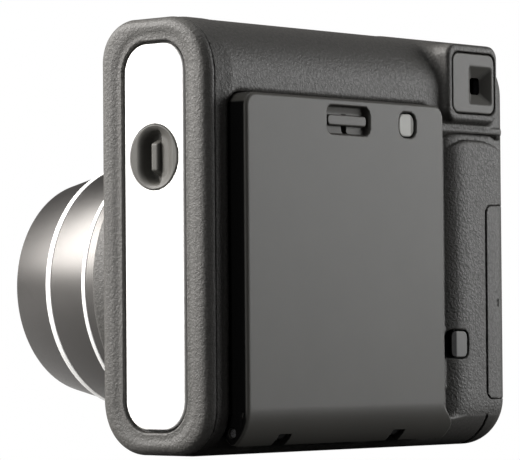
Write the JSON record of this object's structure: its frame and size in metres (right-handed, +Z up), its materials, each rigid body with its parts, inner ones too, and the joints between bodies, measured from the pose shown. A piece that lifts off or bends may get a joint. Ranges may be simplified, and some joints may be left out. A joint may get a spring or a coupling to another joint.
{
  "type": "instant camera",
  "caption": "Square-format instant camera with a turn-to-extend telescoping lens, hinged film door, latch, battery door, film rollers and a strap lug.",
  "frame": {"origin": "on the plane the camera stands on, under the middle of the whole model's box with the lens extended", "axes": "+Z up, the lens looks along -Y and the film door faces +Y, +X towards the strap lug"},
  "size_m": [0.1342, 0.1022, 0.121],
  "materials": {
    "leather": "pebbled leatherette grain moulded in the cover, matte",
    "smooth_shell": "fine satin-matte moulded plastic",
    "black_plastic": "matte black moulded plastic",
    "silver_trim": "bright silver paint, satin",
    "barrel_gunmetal": "gunmetal metallic paint, satin",
    "steel": "bare steel, brushed",
    "mirror": "polished",
    "clear_window": "clear acrylic, polished",
    "lens_glass": "coated glass, polished",
    "smoked_window": "smoked acrylic, polished",
    "film_white": "matte photographic sheet",
    "nylon": "natural nylon, satin",
    "board_green": "solder mask, satin",
    "cell_wrap": "printed shrink sleeve without lettering, satin",
    "felt": "black felt"
  },
  "bodies": {
    "camera_body": {"front_cover": "leather", "rear_cover": "leather", "left_end_cap": "leather", "right_end_cap": "leather", "side_panel": "silver_trim", "strap_lug_cup": "smooth_shell", "strap_lug_bar": "smooth_shell", "eyepiece_plate": "smooth_shell", "eyepiece_lens": "clear_window", "finder_objective": "clear_window", "finder_tube": "black_plastic", "finder_window": "clear_window", "counter_window": "clear_window", "flash_sensor_window": "smoked_window", "light_meter_window": "smoked_window", "flash_window": "clear_window", "flash_reflector": "mirror", "flash_tube": "lens_glass", "flash_capacitor": "black_plastic", "shutter_button_spring": "steel", "door_hinge_pin": "steel", "chassis": "black_plastic", "light_cone": "black_plastic", "film_pack": "black_plastic", "film_sheet": "film_white", "exit_light_seal": "felt", "roller_bracket_left": "steel", "roller_bracket_right": "steel", "motor": "steel", "battery_upper": "cell_wrap", "battery_lower": "cell_wrap", "battery_holder": "black_plastic", "circuit_board": "board_green"},
    "mode_ring": {"mode_ring": "barrel_gunmetal", "mode_ring_trim": "silver_trim"},
    "mid_barrel": {"mid_barrel": "barrel_gunmetal", "mid_barrel_trim": "silver_trim"},
    "front_barrel": {"front_barrel": "barrel_gunmetal", "lens_bezel": "black_plastic", "front_lens": "lens_glass", "rear_lens": "lens_glass", "selfie_mirror": "mirror", "shutter_housing": "black_plastic"},
    "shutter_blade_upper": {"shutter_blade_upper": "black_plastic"},
    "shutter_blade_lower": {"shutter_blade_lower": "black_plastic"},
    "film_door": {"film_door": "smooth_shell", "film_door_window": "clear_window", "pack_spring_upper": "steel", "pack_spring_lower": "steel", "door_latch_spring": "steel"},
    "door_latch": {"door_latch": "smooth_shell"},
    "battery_door": {"battery_door": "smooth_shell"},
    "shutter_button": {"shutter_button": "silver_trim"},
    "front_roller": {"front_roller": "steel", "roller_drive_gear": "nylon"},
    "rear_roller": {"rear_roller": "steel"},
    "idler_gear": {"idler_gear": "nylon"},
    "motor_pinion": {"motor_pinion": "nylon"},
    "counter_dial": {"counter_dial": "black_plastic"},
    "pick_claw": {"pick_claw": "steel"}
  },
  "joints": [
    {"name": "mode_ring_turn", "type": "hinge", "parent": "camera_body", "child": "mode_ring", "pos_m": [0.01525, 0.00128, 0.0478], "axis": [0, 1, 0], "range_deg": [-90, 15]},
    {"name": "front_barrel_slide", "type": "slide", "parent": "camera_body", "child": "front_barrel", "axis": [0, 1, 0], "range_m": [-0.00517, 0.031]},
    {"name": "mid_barrel_slide", "type": "slide", "parent": "camera_body", "child": "mid_barrel", "axis": [0, 1, 0], "range_m": [-0.00259, 0.01551]},
    {"name": "shutter_blade_upper_swing", "type": "hinge", "parent": "front_barrel", "child": "shutter_blade_upper", "pos_m": [0.00225, -0.03832, 0.0508], "axis": [0, -1, 0], "range_deg": [0, 34]},
    {"name": "shutter_blade_lower_swing", "type": "hinge", "parent": "front_barrel", "child": "shutter_blade_lower", "pos_m": [0.00225, -0.03732, 0.0448], "axis": [0, -1, 0], "range_deg": [-34, 0]},
    {"name": "film_door_hinge", "type": "hinge", "parent": "camera_body", "child": "film_door", "pos_m": [0.01525, 0.04505, 0.00647], "axis": [-1, 0, 0], "range_deg": [0, 90]},
    {"name": "door_latch_slide", "type": "slide", "parent": "film_door", "child": "door_latch", "axis": [0, 0, -1], "range_m": [0, 0.0021], "stiffness_N_per_m": 150, "springref_m": -0.002},
    {"name": "battery_door_hinge", "type": "hinge", "parent": "camera_body", "child": "battery_door", "pos_m": [-0.06705, 0.01443, 0.0425], "axis": [0, 0, 1], "range_deg": [0, 100]},
    {"name": "shutter_button_press", "type": "slide", "parent": "camera_body", "child": "shutter_button", "axis": [0, 1, 0], "range_m": [0, 0.0016], "stiffness_N_per_m": 500, "springref_m": -0.001},
    {"name": "front_roller_spin", "type": "hinge", "parent": "camera_body", "child": "front_roller", "pos_m": [0.01525, 0.02568, 0.106], "axis": [1, 0, 0], "continuous": true},
    {"name": "rear_roller_spin", "type": "hinge", "parent": "camera_body", "child": "rear_roller", "pos_m": [0.01525, 0.03448, 0.106], "axis": [1, 0, 0], "continuous": true},
    {"name": "idler_gear_spin", "type": "hinge", "parent": "camera_body", "child": "idler_gear", "pos_m": [-0.0332, 0.03427, 0.09445], "axis": [1, 0, 0], "continuous": true},
    {"name": "motor_pinion_spin", "type": "hinge", "parent": "camera_body", "child": "motor_pinion", "pos_m": [-0.0332, 0.03128, 0.082], "axis": [1, 0, 0], "continuous": true},
    {"name": "counter_dial_turn", "type": "hinge", "parent": "camera_body", "child": "counter_dial", "pos_m": [-0.0446, 0.04218, 0.0264], "axis": [0, 1, 0], "range_deg": [0, 330]},
    {"name": "pick_claw_slide", "type": "slide", "parent": "camera_body", "child": "pick_claw", "axis": [0, 0, 1], "range_m": [0, 0.006]}
  ],
  "couplings": [
    {"joint": "front_barrel_slide", "follows": "mode_ring_turn", "m_per_rad": -0.019735},
    {"joint": "mid_barrel_slide", "follows": "mode_ring_turn", "m_per_rad": -0.009868},
    {"joint": "shutter_blade_lower_swing", "follows": "shutter_blade_upper_swing", "ratio": -1},
    {"joint": "rear_roller_spin", "follows": "front_roller_spin", "ratio": -1},
    {"joint": "idler_gear_spin", "follows": "front_roller_spin", "ratio": -0.8},
    {"joint": "motor_pinion_spin", "follows": "front_roller_spin", "ratio": 1.3333}
  ]
}
